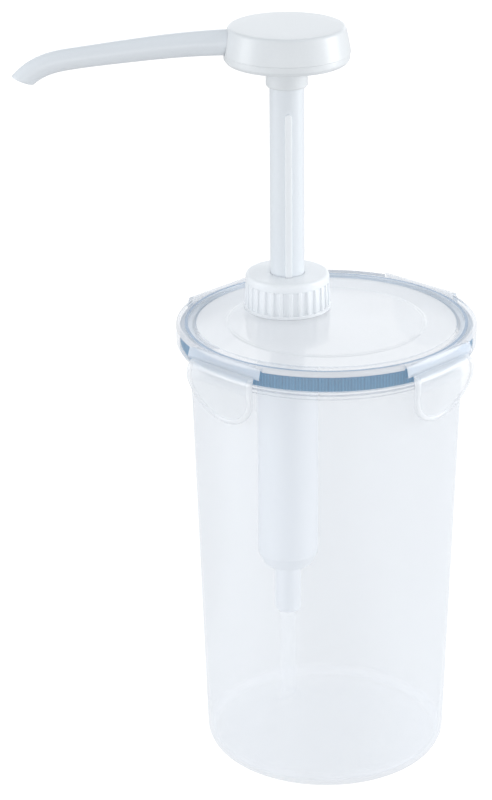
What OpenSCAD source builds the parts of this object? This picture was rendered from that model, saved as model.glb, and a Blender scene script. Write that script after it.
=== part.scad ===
// Condiment pump dispenser: a round food container with a clip-down lid and a
// plunger pump screwed into the lid. Millimetres. The origin is the centre of the
// container's underside, +Z is up, and the four clips sit on the diagonals.

/* [Container] */
// Outer radius of the container wall near the floor
wall_r_low = 60.7; // [59:0.1:61.5]
// Outer radius of the container wall under the rim
wall_r_high = 68.2; // [67.5:0.1:68.6]
// Wall thickness of the container
wall_t = 2.0; // [1.6:0.1:2.2]
// Height of the container's flange top
flange_z = 221.7; // [221.5:0.1:222]
// Outer radius of the container's flange, which the clips hook under
flange_r = 72.5; // [72:0.1:72.7]

/* [Lid] */
// Outer radius of the lid's rim
rim_r = 74.0; // [73.8:0.1:74.2]
// Height of the rim's flat top
rim_z = 232.0; // [231.6:0.1:232.2]
// Height of the raised disc in the middle of the lid
disc_z = 231.0; // [230.8:0.1:231]
// Radius of the raised disc
disc_r = 47.6; // [46:0.1:50]

/* [Clips] */
// Distance of each hinge line from the middle of the lid
hinge_d = 73.4; // [73.4:0.1:73.5]
// Height of each hinge line
hinge_z = 227.2; // [227.2:0.1:227.3]
// Half the width of a clip at its hinge
clip_w = 20.4; // [19:0.1:21]
// Radius of a clip's round lower end
clip_r = 21.0; // [20:0.1:21.4]
// Height of a clip's lower tip
clip_low = 198.3; // [197:0.1:200]

/* [Pump position] */
// Pump axis, left and right of the middle of the lid
pump_x = -18.3; // [-20:0.1:-16]
// Pump axis, behind the middle of the lid
pump_y = 22.2; // [20:0.1:24]
// Turn of the spout away from straight left
head_turn = 2.4; // [-10:0.1:10]

/* [Collar] */
// Radius of the collar's lower edge
collar_r = 21.7; // [21.4:0.1:22]
// Height of the collar's top face
collar_z = 249.0; // [248.8:0.1:249.4]
// Number of grip ribs round the collar
collar_ribs = 28; // [20:1:30]
// Pitch of the collar thread
pitch = 4.2; // [4:0.1:4.2]

/* [Pump] */
// Outer radius of the pump cylinder
cyl_r = 15.4; // [15.3:0.1:15.5]
// Bore radius of the pump cylinder
bore_r = 13.7; // [13.6:0.1:13.8]
// Outer radius of the dip tube
tube_r = 4.4; // [4.3:0.1:4.4]
// Height of the dip tube's lower end
tube_low = 8.0; // [6:0.5:12]
// Outer radius of the stem
stem_r = 8.5; // [8.4:0.1:8.5]
// Number of coils in the return spring
coils = 9; // [7:1:10]

/* [Head] */
// Radius of the head's top face
cap_r_top = 28.8; // [28:0.1:29.2]
// Radius of the head at its seam
cap_r_low = 31.0; // [30.8:0.1:31.4]
// Height of the head's top face
cap_z = 374.4; // [374:0.1:375]
// Height of the seam between cap and base
seam_z = 361.2; // [361:0.1:361.6]
// Height of the lower end of the stem socket
socket_low = 344.3; // [343:0.1:346]

/* [Spout] */
// Radius of the spout beside the head
spout_r0 = 6.3; // [6:0.1:6.4]
// Radius of the spout at its tip
spout_r1 = 5.2; // [5:0.1:5.4]
// Wall thickness of the spout
spout_t = 1.5; // [1.2:0.1:1.7]

/* [Hidden] */
$fn = 96;

// Heights along the pump
neck_z = disc_z + 12.3;
washer_z = neck_z + 0.05;
cyl_flange_z = washer_z + 1.05;
plate_z = collar_z - 2.0;
ball_in_z = 75.85;
ball_out_z = 211.78;
spring_low = 94.3;
spring_top = 204.8;
stem_low = 213.6;
stem_top = 369.0;

// Points of an arc from angle a0 to a1
function arc(cx, cy, r, a0, a1, n = 8) =
    [for (i = [0:n]) let (a = a0 + (a1 - a0) * i / n) [cx + r * cos(a), cy + r * sin(a)]];

// Solid swept through rings of m points each
function ring_faces(n, m) = concat(
    [[for (j = [0:m - 1]) j]],
    [for (i = [0:n - 2], j = [0:m - 1]) let (k = (j + 1) % m)
        each [[i * m + j, (i + 1) * m + j, (i + 1) * m + k], [i * m + j, (i + 1) * m + k, i * m + k]]],
    [[for (j = [m - 1:-1:0]) (n - 1) * m + j]]);

module at_pump() translate([pump_x, pump_y, 0]) children();
module at_head() at_pump() rotate([0, 0, head_turn]) children();
// A section drawn as distance from the middle against height, run w wide across +X
module across(w) rotate([90, 0, 0]) linear_extrude(height = w, center = true) children();

// Helical ridge from radius ra at its foot to rb at its crest, right-handed
module thread(ra, rb, z0, turns) {
    n = round(turns * 30);
    s = rb > ra ? 1 : -1;
    pts = [for (i = [0:n]) let (a = i * 12, z = z0 + pitch * i / 30,
                                f = min(1, i / 4, (n - i) / 4), rc = ra + (rb - ra) * max(f, 0.12))
        each [[ra * cos(a), ra * sin(a), z - 0.85], [rc * cos(a), rc * sin(a), z - 0.45],
              [rc * cos(a), rc * sin(a), z + 0.45], [ra * cos(a), ra * sin(a), z + 0.85]]];
    faces = ring_faces(n + 1, 4);
    polyhedron(pts, s < 0 ? faces : [for (q = faces) [for (k = [len(q) - 1:-1:0]) q[k]]], convexity = 8);
}

// ---------------------------------------------------------------- container
module container() color([0.86, 0.92, 0.96, 0.55])
    rotate_extrude() polygon(concat(
        [[0, 0]],
        arc(wall_r_low - 9.3, 9.6, 9.6, -90, -4, 10),
        [[wall_r_high, 216], [69.6, 216.8], [69.6, 219.5], [flange_r - 0.3, 219.5],
         [flange_r, 219.8], [flange_r, flange_z - 0.4], [flange_r - 0.4, flange_z],
         [70.0, flange_z], [70.0, 225.9], [69.6, 226.3], [66.7, 226.3], [66.3, 225.9],
         [wall_r_high - wall_t, 216]],
        arc(wall_r_low - 9.2, 9.8, 9.5 - wall_t, -3, -90, 10),
        [[0, 2.3]]));

// ---------------------------------------------------------------- lid
module lid_section() polygon(concat(
    [[0, disc_z - 2.2], [0, disc_z], [disc_r, disc_z], [disc_r + 1, disc_z - 0.1],
     [disc_r + 2, disc_z - 0.4], [64.2, disc_z - 0.4], [64.5, disc_z - 0.1], [64.7, rim_z - 0.5],
     [65.1, rim_z - 0.1], [65.5, rim_z]],
    arc(rim_r - 1.8, rim_z - 1.8, 1.8, 90, 0, 6),
    [[rim_r, 222.0], [72.2, 222.0], [72.2, 229.9], [65.9, 229.9], [65.9, 223],
     [65.3, 222.4], [64.4, 222.4], [64.4, disc_z - 2.2]]));

// Flat land that runs down from the rim to a clip's straight hinge line
module land() difference() {
    across(46) polygon([[69.5, 226.2], [69.5, rim_z - 0.2], [71.6, rim_z - 0.2], [72.0, rim_z - 0.6],
                        [hinge_d - 0.2, hinge_z + 0.35], [hinge_d - 0.2, hinge_z - 0.6], [72.6, 226.2]]);
    translate([0, 0, 220]) cylinder(r = 72.2, h = 9.9);
}
module land_cut() across(46) polygon([[71.4, rim_z + 1], [71.7, rim_z - 0.2], [72.0, rim_z - 0.6],
    [hinge_d - 0.2, hinge_z + 0.35], [hinge_d - 0.2, 221], [85, 221], [85, rim_z + 1]]);

module lid() color([0.9, 0.94, 0.97, 0.7]) {
    difference() {
        union() {
            difference() {
                rotate_extrude() lid_section();
                for (a = [45:90:315]) rotate([0, 0, a]) land_cut();
            }
            for (a = [45:90:315]) rotate([0, 0, a]) land();
            at_pump() translate([0, 0, disc_z - 1]) cylinder(r = 17.3, h = neck_z - disc_z + 1);
            at_pump() thread(17.2, 18.6, disc_z + 3.6, 1.5);
        }
        at_pump() translate([0, 0, 225]) cylinder(r = cyl_r + 0.4, h = 30);
    }
}

module lid_gasket() color([0.45, 0.6, 0.74])
    rotate_extrude() polygon([[66.0, 226.4], [70.2, 226.4], [70.2, 221.9], [72.1, 221.9],
                              [72.1, 229.4], [71.7, 229.8], [66.4, 229.8], [66.0, 229.4]]);

// ---------------------------------------------------------------- clips
module clip_outline(inset) {
    translate([0, clip_low + clip_r]) circle(r = clip_r - inset);
    translate([-clip_w + inset, clip_low + clip_r]) square([2 * (clip_w - inset), hinge_z - clip_low - clip_r + 3]);
}
module clip_face(inset) translate([60, 0, 0]) rotate([90, 0, 90]) linear_extrude(height = 30) clip_outline(inset);

// One clip, its hinge line across +X
module clip() {
    x = hinge_d;
    z = hinge_z;
    intersection() {
        across(60) polygon([[x + 0.22, z - 0.35], [x + 2.3, z - 2.3], [x + 2.9, z - 5.2], [x + 3.0, z - 8.4],
                            [x + 2.2, z - 12.2], [x - 0.8, z - 24.2], [x - 1.8, z - 30],
                            [x - 3.3, z - 30], [x - 2.3, z - 24.2], [x + 0.7, z - 12.2],
                            [x + 1.4, z - 8.4], [x + 1.3, z - 5.2], [x + 0.9, z - 3.6], [x + 0.22, z - 2.6]]);
        clip_face(0);
    }
    difference() {
        intersection() {
            across(60) polygon([[x + 0.6, z - 0.85], [x + 3.0, z - 2.9], [x + 3.8, z - 5.4], [x + 3.9, z - 8.4],
                                [x + 3.1, z - 12.2], [x + 0.1, z - 24.2], [x - 0.9, z - 30],
                                [x - 3.2, z - 30], [x - 2.2, z - 24.2], [x + 0.8, z - 12.2],
                                [x + 1.5, z - 8.4], [x + 1.4, z - 5.4], [x + 0.6, z - 3.0]]);
            clip_face(0);
        }
        clip_face(2.4);
    }
    // Hook that snaps under the container's flange
    difference() {
        translate([68, -15.5, 217]) cube([hinge_d + 1.9 - 68, 31, 2.2]);
        translate([0, 0, 210]) cylinder(r = 71.2, h = 20);
        translate([0, 0, 216.99]) cylinder(r1 = 72.4, r2 = 71.2, h = 1.2);
    }
}
module clip_front_left() color([0.88, 0.93, 0.96, 0.6]) rotate([0, 0, -135]) clip();
module clip_front_right() color([0.88, 0.93, 0.96, 0.6]) rotate([0, 0, -45]) clip();
module clip_back_right() color([0.88, 0.93, 0.96, 0.6]) rotate([0, 0, 45]) clip();
module clip_back_left() color([0.88, 0.93, 0.96, 0.6]) rotate([0, 0, 135]) clip();

// ---------------------------------------------------------------- collar
module collar() color([0.96, 0.97, 0.98]) at_head() difference() {
    union() {
        rotate_extrude() polygon(concat(
            [[0, disc_z + 0.1], [collar_r - 0.3, disc_z + 0.1], [collar_r, disc_z + 0.4],
             [collar_r - 0.1, disc_z + 1.4], [20.4, disc_z + 1.7], [20.1, 244.4], [20.9, 244.8]],
            arc(20.8 - 1.9, collar_z - 1.9, 1.9, 0, 90, 6),
            [[0, collar_z]]));
        intersection() {
            for (i = [0:collar_ribs - 1]) rotate([0, 0, 360 / collar_ribs * i])
                translate([18, -1, disc_z + 1]) cube([5, 2, 13.9]);
            translate([0, 0, disc_z + 1]) cylinder(r1 = 21.45, r2 = 20.95, h = 14);
        }
    }
    translate([0, 0, 220]) cylinder(r = 19.05, h = 24.3);
    translate([0, 0, 244.2]) cylinder(r = 18.6, h = plate_z - 244.2);
    translate([0, 0, 240]) cylinder(r = stem_r + 0.35, h = 20);
    translate([-2.1, -10.1, 240]) cube([4.2, 10.1, 20]);
}
module collar_with_thread() {
    collar();
    color([0.96, 0.97, 0.98]) at_pump() thread(19.45, 17.85, disc_z + 3.6 + pitch / 2, 1.25);
}

// ---------------------------------------------------------------- pump
module pump_washer() color([0.93, 0.93, 0.9]) at_pump() difference() {
    translate([0, 0, washer_z]) cylinder(r = 18.2, h = 1.0);
    translate([0, 0, 200]) cylinder(r = cyl_r + 0.1, h = 60);
}

module pump_cylinder() color([0.95, 0.96, 0.98]) at_pump() rotate_extrude() polygon(concat(
    [[4.45, 62.5], [5.6, 62.5]], arc(5.2, 64.04, 1.54, -60, 0, 4),
    [[6.74, 89.6], [11.8, 89.6], [12.4, 90.0], [cyl_r, 96.4], [cyl_r, cyl_flange_z],
     [18.2, cyl_flange_z], [18.2, 246.4], [17.8, 246.8], [14.3, 246.8], [bore_r, 246.0],
     [bore_r, 95.0], [12.8, 92.6], [5.3, 92.6], [5.3, 76.5], [3.0, 72], [3.0, 70.4], [4.45, 70.4]]));

module dip_tube() color([0.9, 0.94, 0.97, 0.7]) at_pump() difference() {
    translate([0, 0, tube_low]) cylinder(r = tube_r, h = 70.3 - tube_low);
    translate([0, 0, 0]) cylinder(r = tube_r - 1.1, h = 100);
    translate([0, 0, tube_low]) rotate([0, 35, 0]) translate([0, 0, -6]) cube([30, 30, 12], center = true);
}

module spring_seat() color([0.95, 0.95, 0.92]) at_pump() {
    difference() {
        translate([0, 0, 92.65]) cylinder(r = 12.6, h = 1.6);
        translate([0, 0, 92]) cylinder(r = 7.4, h = 3);
    }
    for (a = [0:60:120]) rotate([0, 0, a]) translate([-7.8, -0.8, 92.65]) cube([15.6, 1.6, 1.6]);
    translate([0, 0, 86]) cylinder(r = 1.6, h = 8.25);
}

module inlet_ball() color([0.75, 0.77, 0.8]) at_pump() translate([0, 0, ball_in_z]) sphere(r = 4.4);

// Open coil with two closed turns at each end
module return_spring() color([0.78, 0.8, 0.82]) at_pump() {
    w = 0.75;
    r = 9.6;
    seg = 20;
    m = 6;
    n = round(coils * seg);
    h0 = spring_low + w;
    h1 = spring_top - w;
    lead = 1.6;
    // height of the wire's centre after t turns
    zs = [for (i = [0:n]) let (t = i / seg, u = t < 1 ? lead * t : t > coils - 1 ? h1 - h0 - lead * (coils - t) :
        lead + (h1 - h0 - 2 * lead) * (t - 1) / (coils - 2)) h0 + u];
    pts = [for (i = [0:n]) let (a = 360 * i / seg) each [for (j = [0:m - 1])
        let (b = 360 * j / m + 30, rr = r + w * cos(b)) [rr * cos(a), rr * sin(a), zs[i] + w * sin(b)]]];
    polyhedron(pts, [for (q = ring_faces(n + 1, m)) [for (k = [len(q) - 1:-1:0]) q[k]]], convexity = 12);
}

module piston() color([0.95, 0.96, 0.98]) at_pump() rotate_extrude() polygon([
    [3.2, 205], [13.2, 205], [13.3, 205.2], [13.3, 207.2], [11.3, 207.4], [11.3, 219.6], [13.3, 219.8],
    [13.3, 221.6], [11.6, 221.8], [11.2, 227.6], [10.8, 228], [stem_r + 0.05, 228], [stem_r + 0.05, 213.55],
    [6.3, 213.55], [3.2, 208.05]]);

module piston_seal() color([0.9, 0.9, 0.86]) at_pump() rotate_extrude() polygon([
    [11.35, 207.6], [12.6, 207.6], [13.65, 207.9], [13.65, 208.9], [13.0, 210.6], [12.9, 213.5],
    [13.0, 216.4], [13.65, 218.1], [13.65, 219.1], [12.6, 219.4], [11.35, 219.4]]);

module outlet_ball() color([0.75, 0.77, 0.8]) at_pump() translate([0, 0, ball_out_z]) sphere(r = 4.6);

module stem() color([0.96, 0.97, 0.98]) at_head() {
    difference() {
        union() {
            translate([0, 0, stem_low]) cylinder(r = stem_r, h = stem_top - stem_low);
            translate([0, 0, 243.4]) cylinder(r = 11.6, h = plate_z - 0.4 - 243.4);
            // Key rib with a round upper end
            intersection() {
                translate([0, 0, 230]) cylinder(r = stem_r + 1.05, h = 110);
                union() {
                    translate([-1.7, -12, 236]) cube([3.4, 12, 94.6]);
                    translate([0, 0, 330.6]) rotate([90, 0, 0]) cylinder(r = 1.7, h = 12);
                }
            }
        }
        translate([0, 0, 200]) cylinder(r = 6.3, h = 180);
    }
    // Bar across the passage that stops the outlet ball
    translate([-6.6, -0.8, 221]) cube([13.2, 1.6, 2]);
}

// ---------------------------------------------------------------- head
// Centre line of the spout: distance out from the pump axis against height, then
// the downward slope there in degrees
spout_path = [[0, 366.6, 0], [8, 366.6, 0], [30, 366.6, 0.4], [42, 366.3, 2.4], [52, 365.75, 4], [62, 364.95, 5.2],
              [72, 363.98, 5.8], [82, 362.92, 6.2], [92, 361.8, 6.5], [102, 360.6, 7], [108, 359.75, 9],
              [112, 358.95, 13.5], [116, 357.75, 20], [119.5, 356.25, 27], [122.6, 354.45, 34],
              [125.2, 352.5, 40], [127.4, 350.5, 45], [131.4, 346.3, 47]];
function spout_radius(i) = let (s = spout_path[i][0])
    s < 30 ? spout_r0 : spout_r0 + (spout_r1 - spout_r0) * min(1, (s - 30) / 66);
function spout_ring(i, r, m) = let (p = spout_path[i]) [for (j = [0:m - 1]) let (b = 360 * j / m)
    [-p[0] - r * cos(b) * sin(p[2]), r * sin(b), p[1] + r * cos(b) * cos(p[2])]];
module spout_tube(dr, i0, m) {
    n = len(spout_path) - i0;
    polyhedron([for (i = [i0:len(spout_path) - 1]) each spout_ring(i, spout_radius(i) - dr, m)],
               [for (q = ring_faces(n, m)) q], convexity = 6);
}
// The spout's space in the head's wall
module spout_clear(c) translate([-60, 0, 366.6]) rotate([0, 90, 0]) cylinder(r = spout_r0 + c, h = 52);

module spout() color([0.94, 0.96, 0.98]) at_head() difference() {
    union() {
        spout_tube(0, 1, 24);
        translate([0, 0, 360]) cylinder(r = 11.2, h = 11.8);
    }
    difference() {
        spout_tube(spout_t, 0, 16);
        translate([5, -20, 340]) cube([40, 40, 40]);
    }
    translate([0, 0, 350]) cylinder(r = stem_r + 0.05, h = stem_top + 0.1 - 350);
    // The mouth is cut off near level
    translate([-127.5, 0, 350.4]) rotate([0, 22, 0]) translate([-20, -20, -20]) cube([40, 40, 20]);
}

module head_base() color([0.95, 0.96, 0.98]) at_head() difference() {
    rotate_extrude() polygon(concat(
        [[stem_r + 0.05, socket_low], [9.5, socket_low], [10.3, socket_low + 0.9], [10.3, 356.4], [28.8, 356.4]],
        arc(28.8, 358.2, 1.8, -80, -20, 4),
        [[30.75, 359.6], [30.8, seam_z - 0.4], [28.4, seam_z - 0.4], [28.3, 364.2], [27.2, 364.2], [27.0, 359.8],
         [stem_r + 0.05, 359.8]]));
    spout_clear(0.35);
}

module head_cap() color([0.96, 0.97, 0.98]) at_head() difference() {
    rotate_extrude() polygon(concat(
        [[0, cap_z - 0.1], [20, cap_z - 0.15]],
        arc(cap_r_top - 1.2, cap_z - 1.5, 1.2, 90, 10, 5),
        [[cap_r_low, seam_z + 0.3], [cap_r_low - 0.2, seam_z], [28.8, seam_z], [28.6, 364], [26.9, cap_z - 2.4],
         [26.4, cap_z - 2.1], [0, cap_z - 2.1]]));
    spout_clear(0.35);
    translate([-60, -spout_r0 - 0.35, 350]) cube([52, 2 * spout_r0 + 0.7, 16.6]);
}

container();
lid();
lid_gasket();
clip_front_left();
clip_front_right();
clip_back_right();
clip_back_left();
collar_with_thread();  // collar
pump_washer();
pump_cylinder();
dip_tube();
spring_seat();
inlet_ball();
return_spring();
piston();
piston_seal();
outlet_ball();
stem();
head_base();
head_cap();
spout();
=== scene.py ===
import math

import bmesh
import bpy
import numpy as np
from mathutils import Matrix, Vector


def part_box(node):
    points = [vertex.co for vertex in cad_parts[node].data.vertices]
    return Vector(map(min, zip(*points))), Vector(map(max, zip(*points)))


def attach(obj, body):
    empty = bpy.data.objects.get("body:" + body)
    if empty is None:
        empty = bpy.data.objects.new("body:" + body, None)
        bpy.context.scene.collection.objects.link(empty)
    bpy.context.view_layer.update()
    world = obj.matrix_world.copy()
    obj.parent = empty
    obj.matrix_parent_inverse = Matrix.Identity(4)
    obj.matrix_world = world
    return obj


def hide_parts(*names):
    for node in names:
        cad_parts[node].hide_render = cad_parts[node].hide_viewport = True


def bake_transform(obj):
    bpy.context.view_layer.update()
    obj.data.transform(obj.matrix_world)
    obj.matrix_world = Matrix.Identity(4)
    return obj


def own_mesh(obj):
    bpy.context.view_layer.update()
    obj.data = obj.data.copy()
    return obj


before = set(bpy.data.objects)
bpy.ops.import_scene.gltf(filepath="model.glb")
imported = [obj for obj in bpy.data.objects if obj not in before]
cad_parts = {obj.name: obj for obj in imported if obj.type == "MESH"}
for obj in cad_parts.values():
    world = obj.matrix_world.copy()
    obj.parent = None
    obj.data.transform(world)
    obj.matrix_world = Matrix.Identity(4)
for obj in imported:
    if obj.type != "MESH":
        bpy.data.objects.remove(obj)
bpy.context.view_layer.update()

# ------------------------------------------------------------------ positions
# Everything below is in millimetres of the row's own frame; build() turns it into metres.


def mm(node):
    lo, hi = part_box(node)
    return [v * 1000 for v in lo], [v * 1000 for v in hi]


c_lo, c_hi = mm("pump_cylinder")
PX, PY = (c_lo[0] + c_hi[0]) / 2, (c_lo[1] + c_hi[1]) / 2
lid_lo, lid_hi = mm("lid")
col_lo, col_hi = mm("collar")
cap_lo, cap_hi = mm("head_cap")
base_lo, base_hi = mm("head_base")
clip_lo, clip_hi = mm("clip_front_left")
gasket_lo, gasket_hi = mm("lid_gasket")
spring_lo, spring_hi = mm("return_spring")
tube_lo, tube_hi = mm("dip_tube")
stem_lo, stem_hi = mm("stem")
HEAD_TURN = math.radians(2.4)
DISC_Z = col_lo[2] - 0.1
RIM_Z = DISC_Z + 1.0
COLLAR_Z = col_hi[2]
HINGE_D, HINGE_Z = 73.4, clip_hi[2] + 0.35
CLIP_LOW = clip_lo[2]
SEAL_Z = gasket_lo[2]
SKIRT_Z, FLANGE_Z = SEAL_Z + 0.1, SEAL_Z - 0.2
CAP_Z, SEAM_Z = cap_hi[2], cap_lo[2]
TAU = 2 * math.pi


# ------------------------------------------------------------------ mesh tools
def build(name, parts, body=None, nodes=(), sharp=38, merge=0.002):
    """One mesh object from several closed islands, each (vertices in mm, faces)."""
    bm = bmesh.new()
    for verts, faces in parts:
        me = bpy.data.meshes.new("tmp")
        me.from_pydata([tuple(float(c) / 1000 for c in v) for v in verts], [], [tuple(f) for f in faces])
        one = bmesh.new()
        one.from_mesh(me)
        bmesh.ops.remove_doubles(one, verts=one.verts, dist=merge / 1000)
        bmesh.ops.dissolve_degenerate(one, dist=1e-7, edges=one.edges)
        bmesh.ops.recalc_face_normals(one, faces=one.faces)
        one.to_mesh(me)
        one.free()
        bm.from_mesh(me)
        bpy.data.meshes.remove(me)
    me = bpy.data.meshes.new(name)
    bm.to_mesh(me)
    bm.free()
    me.shade_smooth()
    me.set_sharp_from_angle(angle=math.radians(sharp))
    ob = bpy.data.objects.new(name, me)
    bpy.context.scene.collection.objects.link(ob)
    if body:
        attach(ob, body)
    if nodes:
        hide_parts(*nodes)
    return ob


def rounded(pts, n=4):
    """Closed polygon of (x, y) or (x, y, radius) with its corners rounded."""
    out = []
    m = len(pts)
    for i in range(m):
        p = np.array(pts[i][:2], float)
        if len(pts[i]) < 3 or pts[i][2] <= 0:
            out.append(tuple(p))
            continue
        a = np.array(pts[i - 1][:2], float) - p
        b = np.array(pts[(i + 1) % m][:2], float) - p
        la, lb = np.linalg.norm(a), np.linalg.norm(b)
        a, b = a / la, b / lb
        ang = math.acos(max(-1.0, min(1.0, float(a @ b))))
        if ang > math.pi - 0.02:
            out.append(tuple(p))
            continue
        t = min(pts[i][2] / math.tan(ang / 2), 0.48 * la, 0.48 * lb)
        rr = t * math.tan(ang / 2)
        c = p + (a + b) / np.linalg.norm(a + b) * rr / math.sin(ang / 2)
        v0, v1 = p + a * t - c, p + b * t - c
        a0 = math.atan2(v0[1], v0[0])
        da = math.atan2(v1[1], v1[0]) - a0
        da = (da + math.pi) % TAU - math.pi
        for k in range(n + 1):
            w = a0 + da * k / n
            out.append((c[0] + rr * math.cos(w), c[1] + rr * math.sin(w)))
    return out


def arc(cx, cy, r, a0, a1, n=8):
    return [(cx + r * math.cos(math.radians(a0 + (a1 - a0) * i / n)),
             cy + r * math.sin(math.radians(a0 + (a1 - a0) * i / n))) for i in range(n + 1)]


def grid(rows, close_rows=True, close_cols=True):
    """Faces over rows of points. Each row is one column of the sweep; returns (vertices, faces)."""
    n, m = len(rows), len(rows[0])
    verts = [p for row in rows for p in row]
    faces = []
    for i in range(n if close_rows else n - 1):
        k = (i + 1) % n
        for j in range(m if close_cols else m - 1):
            q = (j + 1) % m
            faces.append((i * m + j, k * m + j, k * m + q, i * m + q))
    return verts, faces


def lathe(profile, n=192, centre=(0.0, 0.0)):
    """Closed (r, z) outline turned about a vertical axis."""
    m = len(profile)
    verts, faces = [], []
    for i in range(n):
        a = TAU * i / n
        verts += [(centre[0] + max(r, 0) * math.cos(a), centre[1] + max(r, 0) * math.sin(a), z) for r, z in profile]
    for i in range(n):
        k = (i + 1) % n
        for j in range(m):
            q = (j + 1) % m
            if profile[j][0] < 1e-6 and profile[q][0] < 1e-6:
                continue
            faces.append((i * m + j, k * m + j, k * m + q, i * m + q))
    return verts, faces


def turn(part, a, centre=(0.0, 0.0)):
    """The island turned by a about the vertical through centre."""
    c, s = math.cos(a), math.sin(a)
    return [(centre[0] + (x - centre[0]) * c - (y - centre[1]) * s,
             centre[1] + (x - centre[0]) * s + (y - centre[1]) * c, z) for x, y, z in part[0]], part[1]


def shift(part, d):
    return [(x + d[0], y + d[1], z + d[2]) for x, y, z in part[0]], part[1]


def helix_ridge(ra, rb, z0, turns, pitch, per_turn=72, crest=0.42, foot=0.85):
    """Closed screw ridge from radius ra at its foot to rb at its crest, faded at both ends."""
    n = round(turns * per_turn)
    rows = []
    for i in range(n + 1):
        a = TAU * i / per_turn
        z = z0 + pitch * i / per_turn
        f = max(0.06, min(1, i / (per_turn / 9), (n - i) / (per_turn / 9)))
        rc = ra + (rb - ra) * f
        rm = ra + (rb - ra) * f * 0.82
        ring = [(ra, z - foot), (rm, z - crest - 0.1), (rc, z - crest + 0.12), (rc, z + crest - 0.12),
                (rm, z + crest + 0.1), (ra, z + foot)]
        rows.append([(r * math.cos(a), r * math.sin(a), zz) for r, zz in ring])
    verts, faces = grid(rows, close_rows=False)
    m = 6
    faces += [tuple(range(m)), tuple(range(n * m, n * m + m))]
    return verts, faces


def curve_fn(pts):
    """Smooth monotone interpolation y(x) through points with rising x."""
    xs = np.array([p[0] for p in pts], float)
    ys = np.array([p[1] for p in pts], float)
    h = np.diff(xs)
    d = np.diff(ys) / h
    m = np.zeros(len(xs))
    m[0], m[-1] = d[0], d[-1]
    for i in range(1, len(xs) - 1):
        if d[i - 1] * d[i] > 0:
            w1, w2 = 2 * h[i] + h[i - 1], h[i] + 2 * h[i - 1]
            m[i] = (w1 + w2) / (w1 / d[i - 1] + w2 / d[i])

    def f(x):
        x = float(min(max(x, xs[0]), xs[-1]))
        i = int(min(max(np.searchsorted(xs, x) - 1, 0), len(xs) - 2))
        t = (x - xs[i]) / h[i]
        return float(ys[i] * (2 * t ** 3 - 3 * t ** 2 + 1) + m[i] * h[i] * (t ** 3 - 2 * t ** 2 + t)
                     + ys[i + 1] * (3 * t ** 2 - 2 * t ** 3) + m[i + 1] * h[i] * (t ** 3 - t ** 2))
    return f


def cut(ob, cutters):
    """Takes closed cutter islands out of ob, for good."""
    for k, part in enumerate(cutters):
        cutter = build("cutter_%d" % k, [part])
        md = ob.modifiers.new("cut", "BOOLEAN")
        md.operation = "DIFFERENCE"
        md.solver = "EXACT"
        md.object = cutter
        dg = bpy.context.evaluated_depsgraph_get()
        me = bpy.data.meshes.new_from_object(ob.evaluated_get(dg))
        old = ob.data
        ob.modifiers.clear()
        ob.data = me
        bpy.data.meshes.remove(old)
        data = cutter.data
        bpy.data.objects.remove(cutter)
        bpy.data.meshes.remove(data)
    return ob


def smooth_by_angle(ob, deg):
    ob.data.shade_smooth()
    ob.data.set_sharp_from_angle(angle=math.radians(deg))


# ------------------------------------------------------------------ materials
def node_material(name):
    mat = bpy.data.materials.new(name)
    mat.use_nodes = True
    nt = mat.node_tree
    nt.nodes.clear()
    out = nt.nodes.new("ShaderNodeOutputMaterial")
    return mat, nt, out


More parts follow.
